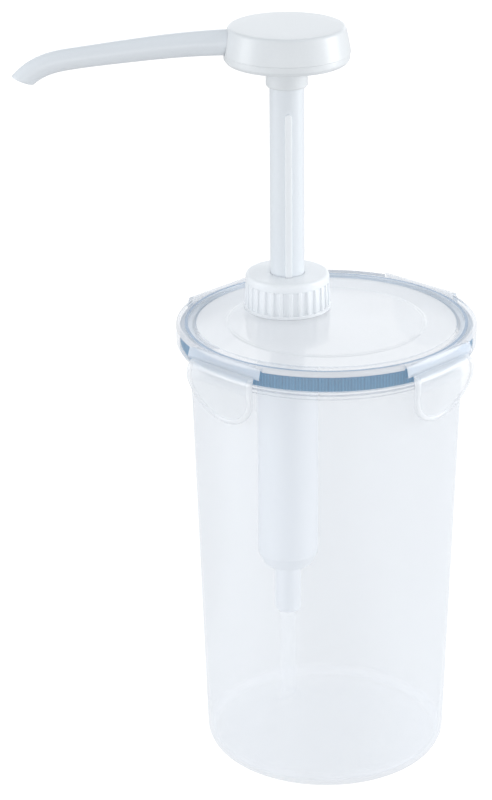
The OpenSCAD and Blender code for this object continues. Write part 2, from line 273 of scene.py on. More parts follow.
def moulded(name, colour, rough=0.3, alpha=1.0, ior=1.49, haze=0.03, grain=0.05, flow=0.02, coat=0.0,
            subsurface=0.0, rough_var=0.06, scale=1.0, metallic=0.0, spec=0.5, rib_shade_streaks=0,
            glow=0.0):
    """Moulded plastic or polished metal: faint flow lines and haze in the colour, uneven gloss, fine orange peel."""
    mat, nt, out = node_material(name)
    N, L = nt.nodes.new, nt.links.new
    bsdf = N("ShaderNodeBsdfPrincipled")
    tc = N("ShaderNodeTexCoord")
    big = N("ShaderNodeTexNoise")
    big.inputs["Scale"].default_value = 26.0 * scale
    big.inputs["Detail"].default_value = 3.0
    big.inputs["Roughness"].default_value = 0.55
    stretch = N("ShaderNodeMapping")
    stretch.inputs["Scale"].default_value = (1.0, 1.0, 0.35)
    fine = N("ShaderNodeTexNoise")
    fine.inputs["Scale"].default_value = 620.0 * scale
    fine.inputs["Detail"].default_value = 4.0
    tone = N("ShaderNodeMapRange")
    tone.interpolation_type = "SMOOTHSTEP"
    tone.inputs["From Min"].default_value = 0.2
    tone.inputs["From Max"].default_value = 0.8
    tone.inputs["To Min"].default_value = 1.0 - haze
    tone.inputs["To Max"].default_value = 1.0
    speck = N("ShaderNodeMapRange")
    speck.inputs["From Min"].default_value = 0.35
    speck.inputs["From Max"].default_value = 0.65
    speck.inputs["To Min"].default_value = 1.0 - flow
    speck.inputs["To Max"].default_value = 1.0
    mult = N("ShaderNodeMath")
    mult.operation = "MULTIPLY"
    mix = N("ShaderNodeMix")
    mix.data_type = "RGBA"
    mix.blend_type = "MULTIPLY"
    mix.inputs["Factor"].default_value = 1.0
    mix.inputs["A"].default_value = (*colour, 1.0)
    rmap = N("ShaderNodeMapRange")
    rmap.inputs["From Min"].default_value = 0.25
    rmap.inputs["From Max"].default_value = 0.75
    rmap.inputs["To Min"].default_value = max(0.02, rough - rough_var)
    rmap.inputs["To Max"].default_value = rough + rough_var
    bump = N("ShaderNodeBump")
    bump.inputs["Strength"].default_value = grain
    bump.inputs["Distance"].default_value = 0.00012
    L(tc.outputs["Object"], stretch.inputs["Vector"])
    L(stretch.outputs["Vector"], big.inputs["Vector"])
    L(tc.outputs["Object"], fine.inputs["Vector"])
    L(big.outputs["Fac"], tone.inputs["Value"])
    L(fine.outputs["Fac"], speck.inputs["Value"])
    L(tone.outputs["Result"], mult.inputs[0])
    L(speck.outputs["Result"], mult.inputs[1])
    L(mult.outputs["Value"], mix.inputs["B"])
    L(mix.outputs["Result"], bsdf.inputs["Base Color"])
    L(big.outputs["Fac"], rmap.inputs["Value"])
    L(rmap.outputs["Result"], bsdf.inputs["Roughness"])
    L(fine.outputs["Fac"], bump.inputs["Height"])
    L(bump.outputs["Normal"], bsdf.inputs["Normal"])
    if rib_shade_streaks:
        # painted highlight and shade: lighter and darker streaks round the ring, one light and one dark per rib, some
        # stronger than others
        sep, ang, turn_n, wave = N("ShaderNodeSeparateXYZ"), N("ShaderNodeMath"), N("ShaderNodeMath"), N("ShaderNodeMath")
        level, patch, spread, streak = N("ShaderNodeMapRange"), N("ShaderNodeTexNoise"), N("ShaderNodeMapRange"), N("ShaderNodeMix")
        ang.operation, turn_n.operation, wave.operation = "ARCTAN2", "MULTIPLY", "SINE"
        turn_n.inputs[1].default_value = float(rib_shade_streaks)
        patch.noise_dimensions = "1D"
        patch.inputs["Scale"].default_value = 42.0
        patch.inputs["Detail"].default_value = 3.0
        spread.inputs["From Min"].default_value, spread.inputs["From Max"].default_value = 0.35, 0.65
        spread.inputs["To Min"].default_value, spread.inputs["To Max"].default_value = -0.5, 0.5
        level.inputs["From Min"].default_value, level.inputs["From Max"].default_value = -1.5, 1.5
        level.inputs["To Min"].default_value, level.inputs["To Max"].default_value = 0.76, 1.27
        both = N("ShaderNodeMath")
        streak.data_type, streak.blend_type = "RGBA", "MULTIPLY"
        streak.inputs["Factor"].default_value = 1.0
        L(tc.outputs["Object"], sep.inputs[0])
        L(sep.outputs["Y"], ang.inputs[0])
        L(sep.outputs["X"], ang.inputs[1])
        L(ang.outputs[0], turn_n.inputs[0])
        L(ang.outputs[0], patch.inputs["W"])
        L(turn_n.outputs[0], wave.inputs[0])
        L(patch.outputs["Fac"], spread.inputs["Value"])
        L(wave.outputs[0], both.inputs[0])
        L(spread.outputs["Result"], both.inputs[1])
        L(both.outputs[0], level.inputs["Value"])
        L(mix.outputs["Result"], streak.inputs["A"])
        L(level.outputs["Result"], streak.inputs["B"])
        L(streak.outputs["Result"], bsdf.inputs["Base Color"])
    # glow is painted light: an emission in the part's own colour, on parts that are no lamp
    if glow:
        bsdf.inputs["Emission Color"].default_value = (*colour, 1.0)
        bsdf.inputs["Emission Strength"].default_value = glow
    bsdf.inputs["IOR"].default_value = ior
    bsdf.inputs["Specular IOR Level"].default_value = spec
    bsdf.inputs["Alpha"].default_value = alpha
    bsdf.inputs["Metallic"].default_value = metallic
    bsdf.inputs["Coat Weight"].default_value = coat
    if coat:
        bsdf.inputs["Coat Roughness"].default_value = 0.08
    if subsurface:
        bsdf.inputs["Subsurface Weight"].default_value = subsurface
        bsdf.inputs["Subsurface Radius"].default_value = (1.0, 0.9, 0.8)
        bsdf.inputs["Subsurface Scale"].default_value = 0.004
    L(bsdf.outputs["BSDF"], out.inputs["Surface"])
    return mat


M_CONTAINER = moulded("frosted_tub", (0.67, 0.72, 0.79), rough=0.55, alpha=0.285, haze=0.03, flow=0.02, spec=0.08)
M_INNER = moulded("frosted_tub_inside", (0.74, 0.79, 0.86), rough=0.45, alpha=0.045, haze=0.03, flow=0.02, spec=0.2)
# painted highlight: a pale, glowing finish for the inner floor fillet, standing in for the soft highlight on it
M_FILLET_HIGHLIGHT = moulded("frosted_tub_fillet_highlight", (0.95, 0.96, 1.0), rough=0.45, alpha=0.15, glow=0.24, haze=0.03, flow=0.02, spec=0.2)
# painted light: the inner floor top glows a little to lighten it
M_FLOOR_GLOW = moulded("frosted_tub_floor_glow", (0.90, 0.93, 0.98), rough=0.45, alpha=0.08, glow=0.30, haze=0.03, flow=0.02, spec=0.2)
M_LID = moulded("clear_lid_skirt", (0.52, 0.61, 0.72), rough=0.16, alpha=0.21, ior=1.5, haze=0.02, flow=0.01, grain=0.02)
M_PANEL = moulded("clear_lid_panel", (0.89, 0.905, 0.93), rough=0.07, alpha=0.83, ior=1.38, haze=0.015, flow=0.01, grain=0.02,
                  rough_var=0.02)
M_RIM = moulded("clear_lid_rim", (0.90, 0.93, 0.97), rough=0.12, alpha=0.20, ior=1.42, haze=0.03, flow=0.02, grain=0.03)
# painted refraction: a blue tint on the step at the rim's inner edge, standing in for the blue gasket seen through the
# clear plastic
M_BEND_REFRACTION_TINT = moulded("clear_lid_bend_painted_refraction", (0.62, 0.73, 0.86), rough=0.20, alpha=0.28, ior=1.4, haze=0.05, flow=0.02, grain=0.03)
# painted refraction: a deep blue tint on the groove faces, standing in for the gasket seen through the rim; the
# gasket's fin under them is real blue
M_GROOVE_REFRACTION_TINT = moulded("clear_lid_groove_painted_refraction", (0.42, 0.57, 0.77), rough=0.25, alpha=0.74, ior=1.4, haze=0.05, flow=0.02, grain=0.03)
M_CORNER = moulded("clear_lid_corner", (0.82, 0.83, 0.86), rough=0.20, alpha=0.84, ior=1.45, haze=0.03, flow=0.02, grain=0.03)
M_ROOF = moulded("clear_lid_channel", (0.88, 0.93, 0.99), rough=0.35, alpha=0.92, ior=1.4, haze=0.04, flow=0.02, grain=0.03)
M_LAND = moulded("clear_lid_land", (0.87, 0.895, 0.945), rough=0.14, alpha=0.50, ior=1.6, haze=0.03, flow=0.02, grain=0.03)
M_CLIP = moulded("clear_clip", (0.93, 0.955, 0.985), rough=0.16, alpha=0.36, ior=1.7, haze=0.02, flow=0.01, grain=0.03)
M_HOOK = moulded("clear_clip_hook", (0.90, 0.93, 0.965), rough=0.22, alpha=0.16, ior=1.45, haze=0.02, flow=0.01, grain=0.03)
M_BEAD = moulded("clear_clip_bead", (0.95, 0.97, 1.0), rough=0.14, alpha=0.46, ior=1.7, haze=0.02, flow=0.01, grain=0.03)
# blue silicone; the streaks along its ribs are painted highlight and shade
M_GASKET = moulded("blue_silicone_painted_rib_shade", (0.095, 0.34, 0.565), rough=0.42, haze=0.10, flow=0.08, grain=0.12, rough_var=0.08, rib_shade_streaks=290)
M_HEAD = moulded("white_head", (0.755, 0.78, 0.80), rough=0.30, haze=0.010, flow=0.010, grain=0.04, rough_var=0.03)
M_WHITE = moulded("white_moulding", (0.765, 0.80, 0.835), rough=0.30, haze=0.010, flow=0.010, grain=0.04, rough_var=0.03)
M_COLLAR = moulded("white_collar", (0.87, 0.893, 0.915), rough=0.36, haze=0.010, flow=0.012, grain=0.05, rough_var=0.03)
# painted light: the pump barrel glows a little, standing in for light the milky tub wall lets through onto it
M_CYLINDER_GLOW = moulded("white_cylinder_painted_glow", (0.94, 0.955, 0.975), rough=0.40, glow=0.14, haze=0.015, flow=0.015, grain=0.05, rough_var=0.03)
# painted light: the dip tube glows, which keeps it pale inside the tub
M_TUBE_GLOW = moulded("tube_polythene_painted_glow", (0.94, 0.96, 0.98), rough=0.28, alpha=0.06, glow=0.30, haze=0.03, flow=0.02)
M_SEAL = moulded("soft_seal", (0.78, 0.78, 0.74), rough=0.5, haze=0.06, flow=0.05, grain=0.1)
M_STEEL = moulded("steel_wire", (0.62, 0.64, 0.67), rough=0.26, metallic=1.0, haze=0.08, flow=0.08, grain=0.12, scale=3.0)
M_BALL = moulded("steel_ball", (0.66, 0.67, 0.70), rough=0.12, metallic=1.0, haze=0.05, flow=0.03, grain=0.03, scale=2.0)


def paint(ob, mat):
    ob.data.materials.clear()
    ob.data.materials.append(mat)


# ------------------------------------------------------------------ container
def container_part():
    pts = [(0, 0.12), (40.0, 0.12), (44.0, 0.08), (48.2, 0.0)]
    pts += arc(51.4, 9.6, 9.6, -90, -4, 16)
    pts += rounded([(68.2, 216, 3.0), (69.6, 216.8, 0.5), (69.6, 219.5, 0.35), (72.5, 219.5, 0.35), (72.5, FLANGE_Z, 0.45),
                    (70.0, FLANGE_Z, 0.4), (70.0, 226.3, 0.6), (66.3, 226.3, 0.6), (66.2, 216, 2.0)], 4)
    pts += arc(51.5, 9.8, 7.5, -3, -90, 14)
    pts += [(50.2, 2.3), (48, 2.3), (0, 2.3)]
    return lathe(pts, 288)


container = build("container_shell", [container_part()], "vessel", ["container"], sharp=40)
paint(container, M_CONTAINER)
container.data.materials.append(M_INNER)
container.data.materials.append(M_FILLET_HIGHLIGHT)
container.data.materials.append(M_FLOOR_GLOW)
for poly in container.data.polygons:
    c, nrm = poly.center, poly.normal
    r, z = math.hypot(c.x, c.y) * 1000, c.z * 1000
    out = (nrm.x * c.x + nrm.y * c.y) / max(math.hypot(c.x, c.y), 1e-9)
    # the inner fillet ring gets the painted highlight finish
    if 56.6 < r < 59.2 and 3.8 < z < 9.9 and out < 0:
        poly.material_index = 2
    # the inner floor top gets the glowing floor finish
    elif nrm.z > 0.9 and z < 4 and r < 58:
        poly.material_index = 3
    elif z < 225 and (out < -0.2 and r < 68.3 or (nrm.z > 0.5 and z < 12)):
        poly.material_index = 1


# ------------------------------------------------------------------ lid
def lid_columns():
    """Azimuths, denser at the ends of the four lands, with a pair of columns at each abrupt end."""
    ends = [math.radians(a) for a in (45, 135, 225, 315)]
    half = math.asin(23.0 / 75.0)
    cols = []
    for c in ends:
        e = half
        for k in range(-40, 41):
            cols.append((c + e * k / 40 * 0.9995, c, True))
        rest = math.radians(45) - e
        for k in range(0, 25):
            cols.append((c + e + 2 * rest * k / 24, c, False))
        # the last column of the rim piece ends right at the next land
    cols = sorted(cols, key=lambda q: q[0])
    return cols


def lid_part():
    rows = []
    for a, c, land in lid_columns():
        psi = a - c
        cs = math.cos(psi)
        p = [(49.6, DISC_Z - 0.4), (50.4, DISC_Z - 0.42), (57.0, DISC_Z - 0.42), (63.4, DISC_Z - 0.42), (64.05, DISC_Z - 0.36),
             (64.4, DISC_Z - 0.1), (64.55, DISC_Z + 0.2), (64.66, DISC_Z + 0.5), (64.85, DISC_Z + 0.78), (65.15, DISC_Z + 0.94),
             (65.6, RIM_Z), (66.4, RIM_Z), (67.2, RIM_Z), (70.2, RIM_Z)]
        if not land:
            p += arc(72.2, RIM_Z - 1.8, 1.8, 90, 0, 6)
            p += [(74, RIM_Z - 2.2), (74, 226.6), (74, 226.35), (74, 226.2), (74, 225.9), (74, SKIRT_Z + 0.3), (73.93, SKIRT_Z + 0.08), (73.75, SKIRT_Z)]
        else:
            rs = min(74.0, 73.2 / cs)
            p += [(min(72.2, 71.2 / cs), RIM_Z), (min(73.0, 71.42 / cs), RIM_Z - 0.07), (71.6 / cs, RIM_Z - 0.2),
                  (71.85 / cs, RIM_Z - 0.34), (72.02 / cs, RIM_Z - 0.6), (72.6 / cs, 229.5), (73.12 / cs, 227.8),
                  (73.2 / cs, 227.4), (73.2 / cs, 226.6), (max(72.95 / cs, rs), 226.3), (max(72.6 / cs, rs), 226.2),
                  (rs, 226.17), (rs, SKIRT_Z + 0.3), (rs - 0.07, SKIRT_Z + 0.08), (rs - 0.25, SKIRT_Z)]
        p += [(72.45, SKIRT_Z), (72.27, SKIRT_Z + 0.08), (72.2, SKIRT_Z + 0.3), (72.2, 229.6), (72.1, 229.82), (71.9, 229.9),
              (69.85, 229.9), (69.8, RIM_Z - 0.86), (68.25, RIM_Z - 0.86), (68.2, 229.9), (66.2, 229.9),
              (65.98, 229.8), (65.9, 229.6), (65.9, 223.2), (65.75, 222.8), (65.4, 222.45), (65.1, 222.4), (64.7, 222.4),
              (64.48, 222.5), (64.4, 222.75), (64.4, 228.2), (64.2, 228.65), (63.8, 228.8)]
        row = [(r * math.cos(a), r * math.sin(a), z) for r, z in p]
        # underside in to the bore, up the neck, and out over the panel to the ring
        def ring(x, y, r, z):
            return (x + r * math.cos(a), y + r * math.sin(a), z)
        for t in (0.25, 0.5, 0.75, 0.93):
            row.append(ring(PX * t, PY * t, 63.8 + (16.3 - 63.8) * t, DISC_Z - 2.2))
        neck = [(16.3, DISC_Z - 2.2), (15.95, DISC_Z - 2.05), (15.8, DISC_Z - 1.7), (15.8, 236), (15.8, 242.9), (15.92, 243.2),
                (16.15, 243.3), (16.95, 243.3), (17.2, 243.2), (17.3, 242.9), (17.3, 236), (17.3, DISC_Z + 0.5),
                (17.4, DISC_Z + 0.2), (17.62, DISC_Z + 0.04), (17.9, DISC_Z)]
        row += [ring(PX, PY, r, z) for r, z in neck]
        for t in (0.9, 0.7, 0.4):
            row.append(ring(PX * t, PY * t, 47.2 + (17.9 - 47.2) * t, DISC_Z))
        row += [ring(0, 0, r, z) for r, z in ((47.2, DISC_Z), (47.6, DISC_Z - 0.02), (48.0, DISC_Z - 0.16), (48.3, DISC_Z - 0.12),
                                             (48.8, DISC_Z - 0.14), (49.2, DISC_Z - 0.28))]
        rows.append(row)
    return grid(rows)


lid_thread = shift(helix_ridge(17.2, 18.6, DISC_Z + 3.6, 1.5, 4.2), (PX, PY, 0))
lid = build("lid_moulding", [lid_part(), lid_thread], "vessel", ["lid"], sharp=36)
paint(lid, M_LID)
for mat in (M_PANEL, M_RIM, M_BEND_REFRACTION_TINT, M_ROOF, M_LAND, M_HOOK, M_GROOVE_REFRACTION_TINT, M_CORNER):
    lid.data.materials.append(mat)
for poly in lid.data.polygons:
    c, nrm = poly.center, poly.normal
    r, z = math.hypot(c.x, c.y) * 1000, c.z * 1000
    out = (nrm.x * c.x + nrm.y * c.y) / math.hypot(c.x, c.y)
    off = (math.atan2(c.y, c.x) % (TAU / 4)) - TAU / 8
    if r < 64.5 and DISC_Z - 2.5 < z < DISC_Z - 1.5 and nrm.z < -0.5 and math.hypot((c.x * 1000 - PX), (c.y * 1000 - PY)) > 19.0:
        poly.material_index = 6
    elif r < 64.05 and z > DISC_Z - 2.5:
        poly.material_index = 1
    # the step at the rim's inner edge gets the painted refraction tint
    elif z > DISC_Z - 0.45 and r < 64.75:
        poly.material_index = 3
    elif abs(off) < math.asin(23.0 / 75.0) and z > 226.0 and r * math.cos(off) > 71.0 and (out > 0.2 or nrm.z > 0.3):
        poly.material_index = 5
    elif z > RIM_Z - 2.05 and (nrm.z > 0.1 or (out > 0.1 and r > 71.0)):
        poly.material_index = 1 if r < 64.7 else 2 if r < 72.2 else 8
    elif 225.0 < z < 229.95 and 65.5 < r < 66.3 and out > 0.5:
        poly.material_index = 4
    elif 229.55 < z < RIM_Z - 0.5 and 66.0 < r < 72.3 and nrm.z < 0.25:
        # the groove's top faces get the painted refraction tint, the rest the channel finish
        poly.material_index = 7 if z > RIM_Z - 0.95 else 4
    elif abs(off) < math.asin(23.0 / 75.0) and r * math.cos(off) > 72.9 and out > 0.2:
        poly.material_index = 6


# ------------------------------------------------------------------ gasket
def gasket_part():
    n = 1160
    sect = rounded([(66.05, 226.4, 0.3), (70.2, 226.4, 0.3), (70.2, SEAL_Z, 0.3), (72.0, SEAL_Z, 0.35), (72.0, 229.75, 0.5),
                    (69.7, 229.75), (69.65, RIM_Z - 0.96), (68.4, RIM_Z - 0.96), (68.35, 229.75), (66.05, 229.75, 0.5)], 4)
    rows = []
    for i in range(n):
        a = TAU * i / n
        w = (0.11, 0.02, -0.16, 0.02)[i % 4]
        rows.append([((r + (w if r > 71.8 and SEAL_Z + 0.4 < z < 229.2 else 0)) * math.cos(a),
                      (r + (w if r > 71.8 and SEAL_Z + 0.4 < z < 229.2 else 0)) * math.sin(a), z) for r, z in sect])
    return grid(rows)


gasket = build("gasket_ring", [gasket_part()], "vessel", ["lid_gasket"], sharp=30)
paint(gasket, M_GASKET)


# ------------------------------------------------------------------ clips
X, Z = HINGE_D, HINGE_Z
skin_out = curve_fn([(-30.6, X - 1.9), (-24.2, X - 0.8), (-12.2, X + 2.2), (-8.4, X + 3.0), (-5.2, X + 2.9), (-2.3, X + 2.3),
                     (-0.9, X + 1.0), (-0.35, X + 0.3)])
skin_in = curve_fn([(-30.6, X - 3.3), (-24.2, X - 2.3), (-12.2, X + 0.7), (-8.4, X + 1.4), (-5.2, X + 1.3), (-3.6, X + 0.9),
                    (-2.6, X + 0.3)])


def clip_part():
    hw0, r0, zc = 20.4, 21.0, CLIP_LOW + 21.0
    top_o, top_i = Z - 0.35, Z - 2.6
    nl, na = 12, 72

    def u_ring(e, top):
        k = 1 - e / hw0
        hw, r = hw0 * k, r0 * k
        zj = zc + math.sqrt(max(r * r - hw * hw, 0))
        a0 = math.atan2(zj - zc, -hw) if hw > 0 else math.pi - math.atan2(math.sqrt(r0 ** 2 - hw0 ** 2), hw0)
        left = [(-hw, top + (zj - top) * t / nl) for t in range(nl)]
        a_start = math.pi - math.atan2(math.sqrt(r0 ** 2 - hw0 ** 2), hw0)
        a_end = TAU + math.atan2(math.sqrt(r0 ** 2 - hw0 ** 2), hw0)
        bend = [(r * math.cos(a_start + (a_end - a_start) * t / na), zc + r * math.sin(a_start + (a_end - a_start) * t / na))
                for t in range(na + 1)]
        right = [(-q[0], q[1]) for q in reversed(left)]
        return left + bend + right

    outer = [(20.4, 0), (18.0, 0), (15.0, 0), (12.0, 0), (9.0, 0), (6.5, 0), (4.6, 0), (3.4, 0.0), (2.95, 0.03), (2.7, 0.13),
             (2.52, 0.33), (2.4, 0.56), (2.22, 0.74), (1.9, 0.84), (1.3, 0.88), (0.8, 0.84), (0.45, 0.74), (0.2, 0.55),
             (0.05, 0.28), (0.0, 0.0)]
    inner = [(0.0, 0.62), (0.05, 0.4), (0.2, 0.2), (0.45, 0.07), (0.9, 0.0), (2.2, 0.0), (3.4, 0.0), (4.6, 0), (6.5, 0), (9.0, 0),
             (12.0, 0), (15.0, 0), (18.0, 0), (20.4, 0)]
    rows = []
    for e, lift in outer:
        row = []
        for u, z in u_ring(e, top_o):
            zz = z - Z
            fade = min(1.0, max(0.0, (-zz - 0.35) / 2.6))
            fade = fade * fade * (3 - 2 * fade)
            row.append((skin_out(zz) + lift * fade, u, z))
        rows.append(row)
    for e, lift in inner:
        rows.append([(skin_in(z - Z) + lift, u, z) for u, z in u_ring(e, top_i)])
    n, m = len(rows), len(rows[0])
    verts, faces = grid(rows, close_rows=False, close_cols=False)
    # the top edge, from the outer face's first and last columns to the inner face's
    no, ni = len(outer), len(inner)
    for col in (0, m - 1):
        loop = [i * m + col for i in range(n)]
        # outer rows run from the middle out, inner rows back to the middle
        i, j = 0, n - 1
        while i < j - 1:
            faces.append((loop[i], loop[i + 1], loop[j]))
            faces.append((loop[i + 1], loop[j - 1], loop[j])) if i + 1 < j - 1 else None
            i, j = i + 1, j - 1
    return verts, faces


def hook_part():
    rows = []
    for k in range(0, 25):
        u = -15.3 + 30.6 * k / 24
        inner = math.sqrt(71.2 ** 2 - u * u)
        low = math.sqrt(72.3 ** 2 - u * u)
        xo = skin_in(218 - Z) + 0.45
        sect = rounded([(low, 217.0, 0.25), (inner, 218.15, 0.3), (inner, 219.2, 0.3), (xo, 219.2), (xo, 217.0)], 3)
        rows.append([(x, u, z) for x, z in sect])
    verts, faces = grid(rows, close_rows=False)
    m = len(rows[0])
    faces += [tuple(range(m)), tuple(range(24 * m, 25 * m))]
    return verts, faces


def web_part():
    """Living hinge: a thin strip round the hinge line."""
    rows = []
    path = [(72.95, 227.62), (73.2, 227.5), (73.4, 227.3), (73.58, 227.02), (73.72, 226.7), (73.9, 226.35)]
    th = [0.55, 0.4, 0.3, 0.3, 0.4, 0.6]
    top, low = [], []
    for i, (x, z) in enumerate(path):
        a = path[max(i - 1, 0)]
        b = path[min(i + 1, len(path) - 1)]
        d = np.array([b[0] - a[0], b[1] - a[1]])
        d = d / np.linalg.norm(d)
        nrm = np.array([-d[1], d[0]])
        top.append((x + nrm[0] * th[i] / 2, z + nrm[1] * th[i] / 2))
        low.append((x - nrm[0] * th[i] / 2, z - nrm[1] * th[i] / 2))
    sect = top + low[::-1]
    for k in range(0, 21):
        u = -19.6 + 39.2 * k / 20
        rows.append([(x, u, z) for x, z in sect])
    verts, faces = grid(rows, close_rows=False)
    m = len(sect)
    faces += [tuple(range(m)), tuple(range(20 * m, 21 * m))]
    return verts, faces


for node, body, az in (("clip_front_left", "clip_fl", -135), ("clip_front_right", "clip_fr", -45),
                       ("clip_back_right", "clip_br", 45), ("clip_back_left", "clip_bl", 135)):
    a = math.radians(az)
    ca, sa = math.cos(a), math.sin(a)
    ob = build(node + "_flap", [turn(clip_part(), a), turn(hook_part(), a)], body, [node], sharp=42)
    paint(ob, M_CLIP)
    ob.data.materials.append(M_BEAD)
    ob.data.materials.append(M_HOOK)
    for poly in ob.data.polygons:
        c = poly.center
        u, z = (-c.x * math.sin(a) + c.y * math.cos(a)) * 1000, c.z * 1000
        edge = 20.4 - abs(u) if z > CLIP_LOW + 24 else 21.0 - math.hypot(u, z - CLIP_LOW - 21.0)
        d = (c.x * ca + c.y * sa) * 1000
        if z < 219.4 and z > 216.8 and d < skin_in(z - Z) + 0.3 and abs(u) < 15.6:
            poly.material_index = 2
        elif edge < 2.6 and z < Z - 1.0:
            poly.material_index = 1
    web = build(node + "_hinge", [turn(web_part(), a)], None, sharp=50)
    paint(web, M_HOOK)
    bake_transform(web)


# ------------------------------------------------------------------ collar
def collar_part():
    core0, core1 = 20.4, 20.1
    offs = [0, 0.4, 0.68, 0.84, 0.94, 1.0, 1.08, 1.3, 1.75]
    vals = [1, 1.0, 0.965, 0.88, 0.7, 0.32, 0.06, 0.0, 0.0]
    pitch = TAU / 28
    cols = {}
    for i in range(28):
        c = pitch * i
        for o, v in zip(offs, vals):
            for s in (-1, 1):
                cols[round((c + s * o / 21.2) % TAU, 6)] = v
        cols[round((c + pitch / 2) % TAU, 6)] = 0.0
    key = 1.5 * math.pi
    for d in (0.1, 0.16, 0.1874, 0.1935, 0.2, 0.2072, 0.2152, 0.24):
        for s in (-1, 1):
            q = round((key + s * d) % TAU, 6)
            if q not in cols:
                near = min(cols, key=lambda x: abs(x - q))
                cols[q] = cols[near]
    rows = []
    for a in sorted(cols):
        f = cols[a]
        d = abs(a - key)
        if d < 0.1875:
            hole = 9.75 / math.cos(d)
        elif d < 0.2150:
            hole = max(8.62, 1.85 / math.sin(d))
        else:
            hole = 8.62
        z0 = DISC_Z
        p = [(19.35, z0 + 0.04), (21.58, z0 + 0.04), (21.68, z0 + 0.1), (21.7, z0 + 0.3), (21.68, z0 + 1.15), (21.58, z0 + 1.38),
             (21.4, z0 + 1.47)]
        for t, w in ((0.0, 0.62), (0.012, 0.86), (0.03, 0.97), (0.06, 1.0), (0.3, 1.0), (0.6, 1.0), (0.9, 1.0), (0.955, 0.98),
                     (0.98, 0.9), (0.995, 0.66)):
            z = z0 + 1.7 + 12.1 * t
            core = core0 + (core1 - core0) * t
            rib = 21.45 - 0.5 * t
            r = core + (rib - core) * f * w
            p.append((r if t > 0 else core + (rib - core) * f, z))
        zt = COLLAR_Z
        p += [(20.55, zt - 4.5), (20.8, zt - 4.3), (20.9, zt - 4.0), (20.9, zt - 3.0)]
        p += arc(20.9 - 1.9, zt - 1.9, 1.9, 0, 90, 8)
        p += [(15.0, zt), (12.0, zt), (hole + 0.2, zt), (hole + 0.06, zt - 0.05), (hole, zt - 0.2), (hole, zt - 1.75),
              (hole + 0.2, zt - 2.0), (12.0, zt - 2.0), (18.3, zt - 2.0), (18.6, zt - 2.3), (18.6, zt - 4.7), (18.75, zt - 4.75),
              (19.05, zt - 4.9), (19.05, 240), (19.05, z0 + 0.5)]
        rows.append([(r * math.cos(a), r * math.sin(a), z) for r, z in p])
    return grid(rows)


collar_thread = shift(helix_ridge(19.2, 17.85, DISC_Z + 3.6 + 2.1, 1.25, 4.2), (PX, PY, 0))
collar = build("collar_ribbed", [turn(shift(collar_part(), (PX, PY, 0)), HEAD_TURN, (PX, PY)), collar_thread],
               "collar_body", ["collar"], sharp=34)
paint(collar, M_COLLAR)


# ------------------------------------------------------------------ cylinder, dip tube, spring
def cylinder_part():
    pts = [(4.45, 62.6), (4.6, 62.5), (5.6, 62.5)] + arc(5.2, 64.04, 1.54, -60, 0, 6)
    pts += rounded([(6.74, 89.6, 0.9), (11.6, 89.6, 0.8), (12.6, 90.4, 0.8), (15.4, 96.4, 1.6), (15.4, 244.4, 0.2), (18.2, 244.4, 0.2),
                    (18.2, 246.8, 0.4), (14.3, 246.8, 0.3), (13.7, 246.0, 0.3), (13.7, 95.0, 0.6), (12.8, 92.6, 0.4), (5.3, 92.6, 0.2),
                    (5.3, 76.5, 0.6), (3.0, 72, 0.3), (3.0, 70.4), (4.45, 70.4)], 3)
    return lathe(pts, 128, (PX, PY))


cylinder = build("pump_barrel", [cylinder_part()], "pump_body", ["pump_cylinder"], sharp=32)
paint(cylinder, M_CYLINDER_GLOW)


def tube_part():
    ro, ri, zt = 4.4, 3.3, tube_hi[2]
    zb = tube_lo[2]
    rows = []
    n = 64
    for i in range(n):
        a = TAU * i / n
        c, s = math.cos(a), math.sin(a)
        # the lower end is cut at a slant, as for a tube pushed near the floor
        zo = zb + (ro * c + ro) * math.tan(math.radians(35)) * 0.98
        zi = zb + (ri * c + ro) * math.tan(math.radians(35)) * 0.98
        rows.append([(PX + ro * c, PY + ro * s, zo + 0.12), (PX + ro * c, PY + ro * s, zb + 12), (PX + ro * c, PY + ro * s, 40),
                     (PX + ro * c, PY + ro * s, zt - 0.2), (PX + (ro - 0.2) * c, PY + (ro - 0.2) * s, zt), (PX + ri * c, PY + ri * s, zt),
                     (PX + ri * c, PY + ri * s, 40), (PX + ri * c, PY + ri * s, zb + 12), (PX + ri * c, PY + ri * s, zi + 0.02),
                     (PX + (ro - 0.15) * c, PY + (ro - 0.15) * s, zo)])
    return grid(rows)


tube = build("dip_hose", [tube_part()], "pump_body", ["dip_tube"], sharp=35)
paint(tube, M_TUBE_GLOW)


def spring_part():
    w, r, turns, per = 0.75, 9.6, 9, 48
    h0, h1 = spring_lo[2] + w, spring_hi[2] - w
    n = turns * per
    rows = []
    for i in range(n + 1):
        t = i / per
        lead = 1.6
        if t < 1:
            u = lead * t
        elif t > turns - 1:
            u = h1 - h0 - lead * (turns - t)
        else:
            u = lead + (h1 - h0 - 2 * lead) * (t - 1) / (turns - 2)
        a = TAU * t
        rows.append([(PX + (r + w * math.cos(b)) * math.cos(a), PY + (r + w * math.cos(b)) * math.sin(a), h0 + u + w * math.sin(b))
                     for b in [TAU * j / 12 for j in range(12)]])
    verts, faces = grid(rows, close_rows=False)
    faces += [tuple(range(12)), tuple(range(n * 12, n * 12 + 12))]
    return verts, faces


spring = build("coil_spring", [spring_part()], "pump_body", ["return_spring"], sharp=40)
paint(spring, M_STEEL)
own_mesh(spring)


